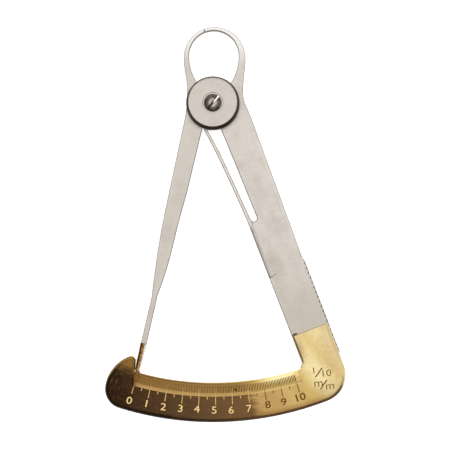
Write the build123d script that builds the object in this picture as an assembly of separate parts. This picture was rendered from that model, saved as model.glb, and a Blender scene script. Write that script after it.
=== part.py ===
from build123d import *
import math
import os

# Spring caliper gauge that reads crown and sheet thickness, lying on its back.
# Z is the pivot axis, the jaws point along +Y and the scale looks up. Millimetres and degrees.

# What the gauge measures
measure_range = 10.0  # opening of the jaws at the last mark
jaw_reach = 17.95  # pivot to the inner end of the meeting faces of the jaw tips
over_travel = 0.12  # swing past the last mark

# Directions, from straight down: the pointer arm to the left, the scale arm to the right
zero_angle = 15.65
pointer_lean = 13.0
scale_lean = 21.2

# Jaws
seam_angle = 6.65  # left of straight up, seen from the pivot
tip_turn = 22.0  # left of straight up, seen from the middle of the ring
ring_inner = 6.2
ring_outer = 7.65
tip_strip = 0.82  # width of the strip at the top of the ring
ring_shift = 0.17
tip_gap = 0.04
root_depth = 7.4  # from the widest place of the ring down to the root of each jaw
root_fade = 1.0  # how far the inner edges run on under the cover
pointer_root = 3.55
scale_root = 4.1
pointer_waist = 6.38
scale_waist = 7.47
waist_height = 3.2

# Arms
arm_thickness = 1.8
boss_radius = 5.5
boss_gap = 0.06
pointer_outer = 5.99  # outer edge, left of the arm's axis
pointer_belly = 5.56
pointer_inner = 1.24  # inner edge, left of the arm's axis
pointer_hollow = 0.44  # how far the inner edge has moved out beside the end of the slot
hollow_start = 0.7  # where the hollow's curve starts, as a share of the slot's length
hollow_early = 0.22  # how much of the hollow is reached there
hollow_late = 0.16  # how far the edge has gone over to the needle's halfway between the two
hollow_flow = 6.0  # how gently it runs into the needle, in needle widths of length
closing_gap = 0.03  # between the arms' inner edges at the end of the swing
pointer_bow = 0.2  # how far the lower outer edge bows out
belly_length = 30.7
needle_length = 12.0
needle_width = 1.4
needle_neck = 0.15  # how much narrower the arm is where the needle starts
needle_thickness = 1.1
scale_outer = 7.65  # outer edge, right of the arm's axis
scale_narrow = 6.9
grip_width = 7.2  # outer edge along the grip, right of the arm's axis
grip_length = 16.5
grip_step = 0.6
notch_pitch = 1.27
notch_depth = 0.16
notch_rise = 0.02  # how far the notch cutter stands out past the edge
slot_width = 1.7
slot_length = 31.0
slot_flare = 0.45  # how much the slot narrows the arm less at the bottom than at the pivot
edge_break = 0.12

# Leaf spring, along the inner edge of the scale arm
leaf_foot = 45.3  # distance from the pivot to its brazed end
leaf_brazed = 0.92  # its width where it is brazed
leaf_thick = 0.82
leaf_kink = 0.86
leaf_end = 0.62
leaf_depth = 1.4
leaf_reach = 4.5  # distance from the pivot to its free end, along the arm
kink_place = 0.38  # place of the leaf's bend, as a share of the slot's length
kink_swell = 0.53  # how far it stands off there, as a share of its tip
belly_place = 0.74
belly_swell = 0.2
leaf_gap = 0.12  # from its free end to the pointer arm that pushes it
braze_gap = 0.02

# Brass scale plate
band_inner = 69.4
band_width = 9.75
plate_thickness = 2.1
lap_distance = 8.4  # from the band back up the arm to the lap joint
tongue_length = 8.0
tongue_show = 0.25  # width of the tongue left bare beside the brass
recess_depth = 0.6
recess_width = 2.65
recess_slope = 0.55
recess_run = 1.1  # degrees that the recess runs past the last mark
bulb_radius = 9.3
bulb_turn = 1.8  # degrees from the middle of the bulb to the zero mark
bulb_offset = 4.25
bulb_heel = 5.0
bulb_nose = 1.2
elbow_outer = 7.0
elbow_inner = 1.6
plate_round = 1.2
band_round = 0.4
stop_lean = 5.0
stop_gap = 0.04

# Graduation, cut into the scale plate
marks = 10  # whole millimetres
tenths = 10  # lines to a millimetre
mark_length = 2.65  # from the recess's outer side to the end of a whole millimetre's line
half_length = 1.3
mark_width = 0.2
tenth_inset = 0.8  # from the band's inner edge to the tenth lines
tenth_gap = 0.1  # from the tenth lines to the recess's outer side
tenth_width = 0.2
line_depth = 0.1
line_rise = 0.03  # how far the cutter stands above the face

# Brass pointer tip
pin_gap = 7.5  # from the band back to the end of the needle
pin_length = 6.7
pin_radius = 0.85
pin_end_radius = 0.66
nib_reach = 3.5  # how far the point reaches over the band
nib_width = 1.15
nib_right = 0.8  # its right side at the bend, as a share of half its width
nib_left = 1.4  # its left side at the shoulder, as a share of half its width
nib_point = 0.12
nib_thickness = 0.3
nib_gap = 0.06
nib_tilt = 10.0  # the point is bent up so that it passes over the wall of the recess
spigot_radius = 0.4
spigot_length = 2.0
spigot_gap = 0.02

# Pivot
cover_radius = 6.6
cover_height = 2.55
cover_edge = 0.7
cover_gap = 0.06
dish_radius = 2.6
dish_depth = 0.3
dish_slope = 0.1  # how much narrower the dish is at its bottom
screw_head = 2.18
screw_rim = 0.35
screw_dome = 0.6
dome_side = 0.54  # a point on the dome's curve, as a share of the head's radius
dome_rise = 0.73  # and of the dome's height
screw_radius = 0.97
screw_gap = 0.1  # between the screw and the cover's bore
slot_cut = 0.55
slot_deep = 0.6
slot_turn = 50.0
sleeve_radius = 1.8
sleeve_gap = 0.03
nut_radius = 3.0
nut_flange = 0.45
washer_room = 0.5
washer_outer = 2.75
washer_inner = 1.95
washer_thickness = 0.14
washer_gap = 0.15  # round the washer, below the cover
washer_play = 0.02  # under and over the washer
thread_gap = 0.03

# Sizes that follow
swing = 2 * math.degrees(math.asin(measure_range / 2 / jaw_reach))
travel = swing + over_travel
band_outer = band_inner + band_width
recess_outer = band_inner + recess_width
recess_floor = plate_thickness - recess_depth
lap_height = arm_thickness / 2
lap_line = band_inner - lap_distance
tongue_end = lap_line + tongue_length
needle_end = band_inner - pin_gap
needle_start = needle_end - needle_length
nib_radius = band_inner + nib_reach
plate_edge = grip_width - tongue_show
pin_end = needle_end + pin_length
needle_offset = nib_radius * math.sin(math.radians(zero_angle - pointer_lean))
needle_mid = arm_thickness - needle_thickness / 2
closed_lean = scale_lean + pointer_lean - travel
slot_mid = slot_length - slot_width / 2
pointer_mid = pointer_inner + pointer_hollow
arm_inner = pointer_mid + slot_mid * math.sin(math.radians(closed_lean)) - closing_gap
seat_line = arm_inner - leaf_brazed
arms_angle = math.radians(scale_lean + pointer_lean)
leaf_tip = (pointer_inner - leaf_gap + leaf_reach * math.sin(arms_angle)) / math.cos(arms_angle)
slot_inner = seat_line - slot_width
cover_floor = arm_thickness + cover_gap
cover_top = cover_floor + cover_height
sleeve_top = cover_floor + washer_room
head_seat = cover_top - dish_depth
mark_start = recess_outer + recess_slope / 2
past = arm_thickness  # how far a cutting shape runs past the metal
near = 0.01  # edges this close to a size count as lying on it


def polar(radius, angle):
    # a point at an angle to the right of straight down
    turn = math.radians(angle)
    return (radius * math.sin(turn), -radius * math.cos(turn))


def on_scale_arm(along, right):
    # a point given along the scale arm from the pivot, and to the right of its axis
    turn = math.radians(scale_lean)
    x = along * math.sin(turn) + right * math.cos(turn)
    y = -along * math.cos(turn) + right * math.sin(turn)
    return (x, y)


def on_pointer_arm(along, left):
    # a point given along the pointer arm from the pivot, and to the left of its axis
    turn = math.radians(pointer_lean)
    x = -along * math.sin(turn) - left * math.cos(turn)
    y = -along * math.cos(turn) + left * math.sin(turn)
    return (x, y)


def direction(start, end):
    return (end[0] - start[0], end[1] - start[1])


def slab(outline, low, high):
    return Pos(0, 0, low) * extrude(outline, high - low)


def turned(profile_points):
    # a solid of revolution about Z from radius and height pairs
    outline = make_face(Polyline(*profile_points, close=True))
    return revolve(Plane.XZ * outline, Axis.Z, 360)


def round_bar(radius, low, high):
    return Pos(0, 0, low) * Cylinder(radius, high - low, align=(Align.CENTER, Align.CENTER, Align.MIN))


# Jaws: the two arms end in the halves of one egg-shaped ring

seam_point = polar(-jaw_reach, seam_angle)
ring_x = seam_point[0] + ring_inner * math.sin(math.radians(tip_turn))
ring_y = seam_point[1] - ring_inner * math.cos(math.radians(tip_turn))
outer_x = ring_x + ring_shift
outer_y = ring_y + ring_inner + tip_strip - ring_outer


def ring_point(x, y, radius, turn):
    return (x + radius * math.cos(math.radians(turn)), y + radius * math.sin(math.radians(turn)))


def seam_end(x, y, radius, angle):
    # where a line from the pivot, left of straight up, leaves a circle
    ray = (-math.sin(math.radians(angle)), math.cos(math.radians(angle)))
    middle = x * ray[0] + y * ray[1]
    miss = x * ray[1] - y * ray[0]
    distance = middle + math.sqrt(radius * radius - miss * miss)
    return (distance * ray[0], distance * ray[1])


def jaw_edges(side, angle, root, waist):
    # the strip of one jaw: its outer edge down to the waist, and its inner edge down to the root
    outer_tip = seam_end(outer_x, outer_y, ring_outer, angle)
    inner_tip = seam_end(ring_x, ring_y, ring_inner, angle)
    middle_turn = 90 - side * 45
    outer_side = (outer_x + side * ring_outer, outer_y)
    inner_side = (ring_x + side * ring_inner, ring_y)
    root_point = (side * root, ring_y - root_depth)
    waist_point = (side * waist, waist_height)
    outer_arc = ThreePointArc(outer_tip, ring_point(outer_x, outer_y, ring_outer, middle_turn), outer_side)
    outer_run = Spline([outer_side, waist_point], tangents=[(0, -1), (0, -1)])
    inner_arc = ThreePointArc(inner_tip, ring_point(ring_x, ring_y, ring_inner, middle_turn), inner_side)
    inner_run = TangentArc(inner_side, root_point, tangent=(0, -1))
    tip_face = Line(outer_tip, inner_tip)
    return [outer_arc, outer_run, inner_arc, inner_run, tip_face], root_point, waist_point


# Arms: flat bars that are halved over each other at the pivot

def pointer_arm_outline():
    gap_turn = math.degrees(tip_gap / jaw_reach)
    edges, root_point, waist_point = jaw_edges(-1, seam_angle + gap_turn, pointer_root, pointer_waist)
    shoulder = on_pointer_arm(boss_radius, pointer_outer)
    belly = on_pointer_arm(belly_length, pointer_belly)
    half = needle_width / 2
    outer_start = on_pointer_arm(needle_start, needle_offset + half)
    outer_bow = (belly_length + needle_start) / 2
    bow_left = (pointer_belly + needle_offset + half) / 2 + pointer_bow
    neck = needle_offset - half + needle_neck
    needle_left = on_pointer_arm(needle_end, needle_offset + half)
    needle_right = on_pointer_arm(needle_end, needle_offset - half)
    needle_top = on_pointer_arm(needle_start + half, needle_offset - half)
    inner_start = on_pointer_arm(needle_start, neck)
    neck_line = on_pointer_arm(needle_start + hollow_flow * needle_width, neck + needle_width)
    low_left = (1 - hollow_late) * pointer_mid + hollow_late * neck
    inner_low = on_pointer_arm((slot_mid + needle_start) / 2, low_left)
    inner_mid = on_pointer_arm(slot_mid, pointer_mid)
    inner_high = on_pointer_arm(hollow_start * slot_mid, pointer_inner + hollow_early * pointer_hollow)
    inner_top = on_pointer_arm(boss_radius - root_fade / 2, pointer_inner)
    edges += [
        Spline([waist_point, shoulder], tangents=[(0, -1), direction(shoulder, belly)]),
        Line(shoulder, belly),
        ThreePointArc(belly, on_pointer_arm(outer_bow, bow_left), outer_start),
        Line(outer_start, needle_left),
        Line(needle_left, needle_right),
        Line(needle_right, needle_top),
        Line(needle_top, inner_start),
        Spline(
            [inner_start, inner_low, inner_mid, inner_high],
            tangents=[direction(neck_line, inner_start), direction(inner_high, inner_top)],
        ),
        Line(inner_high, inner_top),
        Line(inner_top, root_point),
    ]
    return make_face(edges)


def scale_arm_outline():
    edges, root_point, waist_point = jaw_edges(1, seam_angle, scale_root, scale_waist)
    shoulder = on_scale_arm(boss_radius + root_fade, scale_outer)
    grip_start = lap_line - grip_length
    narrow = on_scale_arm(grip_start - grip_step, scale_narrow)
    grip_top = on_scale_arm(grip_start, grip_width)
    seat_top = on_scale_arm(slot_mid, -seat_line)
    slot_top = on_scale_arm(boss_radius - root_fade / 2, -slot_inner - slot_flare)
    edges += [
        Spline([waist_point, shoulder], tangents=[(0, -1), direction(shoulder, narrow)]),
        Line(shoulder, narrow),
        Line(narrow, grip_top),
        Line(grip_top, on_scale_arm(tongue_end, grip_width)),
        Line(on_scale_arm(tongue_end, grip_width), on_scale_arm(tongue_end, -arm_inner)),
        Line(on_scale_arm(tongue_end, -arm_inner), on_scale_arm(leaf_foot, -arm_inner)),
        Line(on_scale_arm(leaf_foot, -arm_inner), on_scale_arm(leaf_foot, -seat_line)),
        Line(on_scale_arm(leaf_foot, -seat_line), seat_top),
        ThreePointArc(
            seat_top,
            on_scale_arm(slot_length, -(seat_line + slot_inner) / 2),
            on_scale_arm(slot_mid, -slot_inner),
        ),
        Line(on_scale_arm(slot_mid, -slot_inner), slot_top),
        Line(slot_top, root_point),
    ]
    return make_face(edges)


def broken_edges(solid, height):
    # a small chamfer round the front outline
    front = solid.faces().sort_by(Axis.Z)[-1]
    return chamfer(front.outer_wire().edges(), height)


def make_pointer_arm():
    arm = slab(pointer_arm_outline(), 0, arm_thickness)
    arm = broken_edges(arm, edge_break)
    low = arm_thickness - needle_thickness
    ramp = Polyline(
        (needle_start - low, -low),
        (needle_start + low, low),
        (needle_end + past, low),
        (needle_end + past, -low),
        close=True,
    )
    length_plane = Plane(
        origin=(0, 0, 0),
        x_dir=(*on_pointer_arm(1, 0), 0),
        z_dir=(*on_pointer_arm(0, 1), 0),
    )
    arm -= length_plane * Pos(0, 0, -pointer_outer) * extrude(make_face(ramp), 3 * pointer_outer)
    arm -= round_bar(boss_radius + boss_gap, -past, lap_height + boss_gap / 2)
    arm += round_bar(boss_radius, lap_height + boss_gap / 2, arm_thickness)
    arm -= round_bar(sleeve_radius + sleeve_gap, -past, arm_thickness + past)
    return arm + needle_frame() * round_bar(spigot_radius, -spigot_radius, spigot_length)


def needle_frame():
    # origin at the end of the needle, Z along it away from the pivot
    return Location(
        Plane(
            origin=(*on_pointer_arm(needle_end, needle_offset), needle_mid),
            x_dir=(0, 0, 1),
            z_dir=(*on_pointer_arm(1, 0), 0),
        )
    )


def grip_notches():
    # small upright grooves along the outer edge, down to the end of the tongue
    first = lap_line - grip_length + notch_pitch / 2
    count = int((tongue_end - first) / notch_pitch)
    notches = []
    for index in range(count):
        along = first + index * notch_pitch
        groove = Polyline(
            on_scale_arm(along - notch_depth, grip_width + notch_rise),
            on_scale_arm(along, grip_width - notch_depth),
            on_scale_arm(along + notch_depth, grip_width + notch_rise),
            close=True,
        )
        notches.append(slab(make_face(groove), -past, arm_thickness + past))
    return notches


def make_scale_arm():
    arm = slab(scale_arm_outline(), 0, arm_thickness)
    arm = broken_edges(arm, edge_break)
    lap_cut = Polyline(
        on_scale_arm(lap_line - braze_gap, -arm_inner - past),
        on_scale_arm(lap_line - braze_gap, grip_width + past),
        on_scale_arm(tongue_end + past, grip_width + past),
        on_scale_arm(tongue_end + past, -arm_inner - past),
        close=True,
    )
    arm -= slab(make_face(lap_cut), lap_height, arm_thickness + past)
    arm -= grip_notches()
    arm -= round_bar(boss_radius + boss_gap, lap_height - boss_gap / 2, arm_thickness + past)
    arm += round_bar(boss_radius, 0, lap_height - boss_gap / 2)
    arm -= round_bar(sleeve_radius + thread_gap, -past, arm_thickness)
    arm -= round_bar(nut_radius + thread_gap, -past, nut_flange + thread_gap)
    return arm


def make_leaf_spring():
    # a flat strip, brazed along the arm's edge up to the slot and free from there to its tip
    seat = seat_line + braze_gap
    swell = leaf_tip - leaf_end - seat
    kink_along = kink_place * slot_length
    kink = seat + kink_swell * swell
    belly_along = belly_place * slot_length
    belly = seat + belly_swell * swell
    foot = leaf_foot - braze_gap
    outer = [
        on_scale_arm(foot, -arm_inner),
        on_scale_arm(slot_mid, -arm_inner),
        on_scale_arm(belly_along, -belly - leaf_thick),
        on_scale_arm(kink_along, -kink - leaf_kink),
        on_scale_arm(leaf_reach, -leaf_tip),
    ]
    inner = [
        on_scale_arm(foot, -seat),
        on_scale_arm(slot_mid, -seat),
        on_scale_arm(belly_along, -belly),
        on_scale_arm(kink_along, -kink),
        on_scale_arm(leaf_reach, leaf_end - leaf_tip),
    ]
    edges = [
        Line(outer[0], outer[1]),
        ThreePointArc(outer[1], outer[2], outer[3]),
        Line(outer[3], outer[4]),
        Line(outer[4], inner[4]),
        Line(inner[4], inner[3]),
        ThreePointArc(inner[3], inner[2], inner[1]),
        Line(inner[1], inner[0]),
        Line(inner[0], outer[0]),
    ]
    low = (arm_thickness - leaf_depth) / 2
    return slab(make_face(edges), low, low + leaf_depth)


# Scale plate: a flat arc with a bulb as the stop at its left end and an elbow up to the arm

def stop_line_point(drop):
    # a point on the stop face, measured down from where the pin rests against it
    rest = on_pointer_arm(pin_end, needle_offset + pin_end_radius + stop_gap)
    turn = math.radians(stop_lean)
    return (rest[0] - drop * math.sin(turn), rest[1] - drop * math.cos(turn))


def half_plane(side):
    # everything to the left (-1) or to the right (1) of the stop face
    top = stop_line_point(-band_outer)
    foot = stop_line_point(band_outer)
    reach = side * 2 * band_outer
    return make_face(
        Polyline(top, foot, (foot[0] + reach, foot[1]), (top[0] + reach, top[1]), close=True)
    )


def nearest_corner(outline, point):
    return outline.vertices().sort_by_distance((point[0], point[1], 0))[0]


def circles_meet(center, radius, reach):
    # the lower left crossing of a circle with a circle of the given reach about the pivot
    distance = math.hypot(*center)
    along = (distance * distance + reach * reach - radius * radius) / (2 * distance)
    aside = math.sqrt(reach * reach - along * along)
    unit = (center[0] / distance, center[1] / distance)
    return (unit[0] * along + unit[1] * aside, unit[1] * along - unit[0] * aside)


def plate_outline():
    bulb_center = polar(band_inner + bulb_offset, bulb_turn - zero_angle)
    disc = Circle(band_outer)
    fan_left = polar(2 * band_outer, -zero_angle - bulb_turn)
    fan_right = polar(2 * band_outer, scale_lean)
    fan = make_face(Polyline((0, 0), fan_left, fan_right, close=True))
    band = (disc - Circle(band_inner)) & fan
    elbow = disc & make_face(
        Polyline(
            on_scale_arm(lap_line, -arm_inner),
            on_scale_arm(lap_line, plate_edge),
            on_scale_arm(2 * band_outer, plate_edge),
            on_scale_arm(2 * band_outer, -arm_inner),
            close=True,
        )
    )
    bulb = disc & (Pos(*bulb_center) * Circle(bulb_radius)) & half_plane(-1)
    outline = band + elbow + bulb
    corner_drop = math.sqrt(band_inner**2 - arm_inner**2)
    edge_drop = math.sqrt(band_outer**2 - plate_edge**2)
    nose = stop_line_point(-math.cos(math.radians(stop_lean)) * (bulb_radius / 3))
    for point, radius in (
        (circles_meet(bulb_center, bulb_radius, band_outer), bulb_heel),
        (on_scale_arm(corner_drop, -arm_inner), elbow_inner),
        (on_scale_arm(edge_drop, plate_edge), elbow_outer),
        (nose, bulb_nose),
    ):
        outline = fillet(nearest_corner(outline, point), radius)
    return outline


def pocket():
    # the recess that the point runs in, as a groove turned about the pivot
    profile = Polyline(
        (band_inner - past, recess_floor),
        (recess_outer, recess_floor),
        (recess_outer + recess_slope, plate_thickness),
        (recess_outer + recess_slope, plate_thickness + past),
        (band_inner - past, plate_thickness + past),
        close=True,
    )
    first = -zero_angle - stop_lean
    last = swing - zero_angle + recess_run
    groove = revolve(Plane.XZ * make_face(profile), Axis.Z, last - first)
    groove = Rot(0, 0, first - 90) * groove
    return groove & slab(half_plane(1), 0, plate_thickness + 2 * past)


def cut_line(angle, start, end, width, height):
    # a V-shaped line cut along a radius into a face at the given height
    flare = (1 + line_rise / line_depth) * width / 2
    section = Polyline(
        (-flare, line_rise),
        (0, -line_depth),
        (flare, line_rise),
        close=True,
    )
    turn = math.radians(angle)
    plane = Plane(
        origin=(*polar(start, angle), height),
        x_dir=(math.cos(turn), math.sin(turn), 0),
        z_dir=(math.sin(turn), -math.cos(turn), 0),
    )
    return plane * extrude(make_face(section), end - start)


def graduation():
    # tenths on the floor of the recess, halves and whole millimetres beside it
    lines = []
    tenth_start = band_inner + tenth_inset
    tenth_stop = recess_outer - tenth_gap
    for index in range(marks * tenths + 1):
        angle = swing * index / (marks * tenths) - zero_angle
        lines.append(cut_line(angle, tenth_start, tenth_stop, tenth_width, recess_floor))
    for index in range(2 * marks + 1):
        angle = swing * index / (2 * marks) - zero_angle
        length = half_length if index % 2 else mark_length
        lines.append(cut_line(angle, mark_start, recess_outer + length, mark_width, plate_thickness))
    return lines


def left_of_stop(point):
    # distance to the left of the stop face
    foot = stop_line_point(0)
    turn = math.radians(stop_lean)
    return (foot[0] - point.X) * math.cos(turn) - (foot[1] - point.Y) * math.sin(turn)


def outer_front_edges(plate):
    # the front edges round the bulb, along the rim and up the elbow
    found = []
    turn = math.radians(scale_lean)
    for edge in plate.edges().group_by(Axis.Z)[-1]:
        middle = edge @ 0.5
        right = middle.X * math.cos(turn) + middle.Y * math.sin(turn)
        along = middle.X * math.sin(turn) - middle.Y * math.cos(turn)
        on_bulb = left_of_stop(middle) > bulb_nose
        on_rim = math.hypot(middle.X, middle.Y) > band_inner + band_width / 2
        on_elbow = right > 0 and along > lap_line + braze_gap
        if on_bulb or on_rim or on_elbow:
            found.append(edge)
    return found


def make_scale_plate():
    plate = slab(plate_outline(), 0, plate_thickness)
    plate = fillet(outer_front_edges(plate), plate_round)
    lap = Polyline(
        on_scale_arm(lap_line - past, -arm_inner - braze_gap),
        on_scale_arm(lap_line - past, grip_width + past),
        on_scale_arm(tongue_end + braze_gap, grip_width + past),
        on_scale_arm(tongue_end + braze_gap, -arm_inner - braze_gap),
        close=True,
    )
    plate -= slab(make_face(lap), -past, lap_height + braze_gap)
    plate -= pocket()
    rim = [
        edge
        for edge in plate.edges().filter_by(GeomType.CIRCLE)
        if abs(edge.radius - band_inner) < near and abs((edge @ 0.5).Z - recess_floor) < near
    ]
    return fillet(rim, band_round) - graduation()


def bent_frame():
    # origin on the bend, X along the nib and up over the wall of the recess, Y to its right
    tilt = math.radians(nib_tilt)
    along = on_pointer_arm(1, 0)
    return Location(
        Plane(
            origin=(*on_pointer_arm(pin_end, needle_offset), recess_floor + nib_gap),
            x_dir=(along[0] * math.cos(tilt), along[1] * math.cos(tilt), math.sin(tilt)),
            z_dir=(-along[0] * math.sin(tilt), -along[1] * math.sin(tilt), math.cos(tilt)),
        )
    )


def nib_outline():
    half = nib_width / 2
    reach = nib_radius - pin_end
    shoulder = band_inner + nib_width - pin_end
    return make_face(
        Polyline(
            (-nib_width, half),
            (-nib_width, -half),
            (half, -half * nib_right),
            (shoulder + half, -nib_point),
            (reach, -nib_point / 2),
            (reach, nib_point / 2),
            (shoulder + nib_width, nib_point),
            (shoulder, half * nib_left),
            close=True,
        )
    )


def make_pointer_tip():
    # a tapered round pin on the needle, flattened at its end into a thin pointed nib
    pin = needle_frame() * Cone(
        pin_radius, pin_end_radius, pin_length, align=(Align.CENTER, Align.CENTER, Align.MIN)
    )
    nib = bent_frame() * extrude(nib_outline(), nib_thickness)
    tip = pin + nib
    return tip - needle_frame() * round_bar(spigot_radius + spigot_gap, -past, spigot_length + spigot_gap)


# Pivot: a screw clamps the cover on a flanged sleeve nut, and the pointer arm turns on the sleeve

def make_cover_disc():
    bore = screw_radius + screw_gap
    room = washer_outer + washer_gap
    return turned(
        [
            (room, cover_floor),
            (cover_radius, cover_floor),
            (cover_radius, cover_top - cover_edge),
            (cover_radius - cover_edge, cover_top),
            (dish_radius, cover_top),
            (dish_radius - dish_slope, head_seat),
            (bore, head_seat),
            (bore, sleeve_top),
            (room, sleeve_top),
        ]
    )


def make_pivot_nut():
    return turned(
        [
            (screw_radius + thread_gap, 0),
            (nut_radius, 0),
            (nut_radius, nut_flange),
            (sleeve_radius, nut_flange),
            (sleeve_radius, sleeve_top),
            (screw_radius + thread_gap, sleeve_top),
        ]
    )


def make_spring_washer():
    low = arm_thickness + washer_play
    high = sleeve_top - washer_play
    return turned(
        [
            (washer_outer, low),
            (washer_outer, low + washer_thickness),
            (washer_inner, high),
            (washer_inner, high - washer_thickness),
        ]
    )


def make_pivot_screw():
    rim_top = head_seat + screw_rim
    outline = make_face(
        [
            Line((0, 0), (screw_radius, 0)),
            Line((screw_radius, 0), (screw_radius, head_seat)),
            Line((screw_radius, head_seat), (screw_head, head_seat)),
            Line((screw_head, head_seat), (screw_head, rim_top)),
            ThreePointArc(
                (screw_head, rim_top),
                (screw_head * dome_side, rim_top + screw_dome * dome_rise),
                (0, rim_top + screw_dome),
            ),
            Line((0, rim_top + screw_dome), (0, 0)),
        ]
    )
    screw = revolve(Plane.XZ * outline, Axis.Z, 360)
    cut = Rot(0, 0, slot_turn) * Box(
        3 * screw_head, slot_cut, 2 * slot_deep, align=(Align.CENTER, Align.CENTER, Align.CENTER)
    )
    return screw - Pos(0, 0, rim_top + screw_dome) * cut


pieces = {
    "scale_arm": make_scale_arm,
    "pointer_arm": make_pointer_arm,
    "leaf_spring": make_leaf_spring,
    "scale_plate": make_scale_plate,
    "pointer_tip": make_pointer_tip,
    "cover_disc": make_cover_disc,
    "pivot_screw": make_pivot_screw,
    "pivot_nut": make_pivot_nut,
    "spring_washer": make_spring_washer,
}

os.makedirs("parts", exist_ok=True)
for name, make in pieces.items():
    export_step(make(), f"parts/{name}.step")
print("swing", round(swing, 3), "travel", round(travel, 3))
print("spring foot", [round(value, 3) for value in on_scale_arm(leaf_foot, -seat_line)])
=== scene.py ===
import math
import bmesh
import bpy
from mathutils import Matrix, Vector


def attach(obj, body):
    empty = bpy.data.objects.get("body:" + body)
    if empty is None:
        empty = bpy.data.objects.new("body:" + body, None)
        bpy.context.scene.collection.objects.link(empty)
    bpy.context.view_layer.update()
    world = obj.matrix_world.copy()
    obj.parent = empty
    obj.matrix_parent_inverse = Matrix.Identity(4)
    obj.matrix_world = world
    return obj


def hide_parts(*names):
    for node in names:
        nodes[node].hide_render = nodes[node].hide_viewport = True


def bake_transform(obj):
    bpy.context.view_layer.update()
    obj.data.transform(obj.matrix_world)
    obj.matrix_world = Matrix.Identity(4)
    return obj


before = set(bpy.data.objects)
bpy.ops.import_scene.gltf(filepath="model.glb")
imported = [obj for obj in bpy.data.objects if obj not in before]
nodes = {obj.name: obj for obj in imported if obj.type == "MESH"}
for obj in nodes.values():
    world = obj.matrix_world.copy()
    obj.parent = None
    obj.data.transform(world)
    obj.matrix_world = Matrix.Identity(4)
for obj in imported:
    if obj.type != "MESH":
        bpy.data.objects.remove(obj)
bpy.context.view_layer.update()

mm = 0.001


# Node helpers

def newMaterial(name):
    material = bpy.data.materials.new(name)
    material.use_nodes = True
    tree = material.node_tree
    shader = next(node for node in tree.nodes if node.type == "BSDF_PRINCIPLED")
    return material, tree, shader


def linear(colour):
    # a colour as a screen shows it, 0 to 255, turned into what a shader wants
    return tuple(((c / 255 + 0.055) / 1.055) ** 2.4 if c > 10 else c / 255 / 12.92 for c in colour)


def put(socket, value):
    # a link when value is a socket, otherwise a plain number or a colour of three numbers
    if isinstance(value, bpy.types.NodeSocket):
        socket.id_data.links.new(value, socket)
    else:
        socket.default_value = (*value, 1.0) if socket.type == "RGBA" else value


def nodeFor(kind, *values):
    # a new node in the tree that the sockets among the values belong to
    tree = next(value.id_data for value in values if isinstance(value, bpy.types.NodeSocket))
    return tree.nodes.new(kind)


def calc(operation, first, second=0.0, clamp=False):
    node = nodeFor("ShaderNodeMath", first, second)
    node.operation = operation
    node.use_clamp = clamp
    put(node.inputs[0], first)
    put(node.inputs[1], second)
    return node.outputs[0]


def times(first, *others):
    for other in others:
        first = calc("MULTIPLY", first, other)
    return first


def plus(first, *others):
    for other in others:
        first = calc("ADD", first, other)
    return first


def minus(first, second):
    return calc("SUBTRACT", first, second)


def flipped(mask):
    return minus(1.0, mask)


def ease(value, first, second, start=0.0, end=1.0):
    # start where the value is at the first number, end at the second, smooth between;
    # the first may be the larger
    if first > second:
        first, second, start, end = second, first, end, start
    node = nodeFor("ShaderNodeMapRange", value)
    node.interpolation_type = "SMOOTHSTEP"
    settings = {"Value": value, "From Min": first, "From Max": second, "To Min": start, "To Max": end}
    for name, setting in settings.items():
        put(node.inputs[name], setting)
    return node.outputs["Result"]


def mixed(factor, first, second):
    node = nodeFor("ShaderNodeMix", factor, first, second)
    node.data_type = "RGBA"
    colourSockets = [socket for socket in node.inputs if socket.type == "RGBA"]
    put(node.inputs["Factor"], factor)
    put(colourSockets[0], first)
    put(colourSockets[1], second)
    return next(socket for socket in node.outputs if socket.type == "RGBA")


def ramp(value, stops):
    # stops are (position, colour) pairs, the position in the value's own unit
    low = stops[0][0]
    high = stops[-1][0]
    scaled = calc("DIVIDE", minus(value, low), high - low, clamp=True)
    node = nodeFor("ShaderNodeValToRGB", scaled)
    put(node.inputs[0], scaled)
    elements = node.color_ramp.elements
    while len(elements) < len(stops):
        elements.new(0.5)
    for element, (position, colour) in zip(elements, stops):
        element.position = (position - low) / (high - low)
        element.color = (*linear(colour), 1.0)
    return node.outputs[0]


def combine(x, y, z):
    node = nodeFor("ShaderNodeCombineXYZ", x, y, z)
    for socket, value in zip(node.inputs, (x, y, z)):
        put(socket, value)
    return node.outputs[0]


def noise(vector, scale=1.0, detail=3.0, roughness=0.6):
    node = nodeFor("ShaderNodeTexNoise", vector)
    settings = {"Vector": vector, "Scale": scale, "Detail": detail, "Roughness": roughness}
    for name, setting in settings.items():
        put(node.inputs[name], setting)
    return node.outputs["Fac"]


def streaks(long, cross, seed, length, pitch, detail=3.0):
    # noise drawn out along one direction: marks about length long and pitch apart, in millimetres
    return noise(combine(times(long, 1 / length), times(cross, 1 / pitch), seed), 1.0, detail)


def clouds(first, second, seed, scales):
    # soft patches, with a scale for each direction
    return noise(combine(times(first, scales[0]), times(second, scales[1]), seed))


# Places

def millimetres(tree):
    # place on the gauge in millimetres: x, y, z
    coordinates = tree.nodes.new("ShaderNodeTexCoord")
    split = tree.nodes.new("ShaderNodeSeparateXYZ")
    put(split.inputs[0], coordinates.outputs["Object"])
    return [times(output, 1 / mm) for output in split.outputs]


def steepness(tree):
    # 1 on a face that looks straight up or down, 0 on a side wall
    geometry = tree.nodes.new("ShaderNodeNewGeometry")
    split = tree.nodes.new("ShaderNodeSeparateXYZ")
    put(split.inputs[0], geometry.outputs["Normal"])
    return calc("ABSOLUTE", split.outputs["Z"])


def rotated(x, y, angle):
    # the same place in axes turned by an angle in degrees
    turn = math.radians(angle)
    first = plus(times(x, math.cos(turn)), times(y, math.sin(turn)))
    second = plus(times(x, -math.sin(turn)), times(y, math.cos(turn)))
    return first, second


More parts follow.
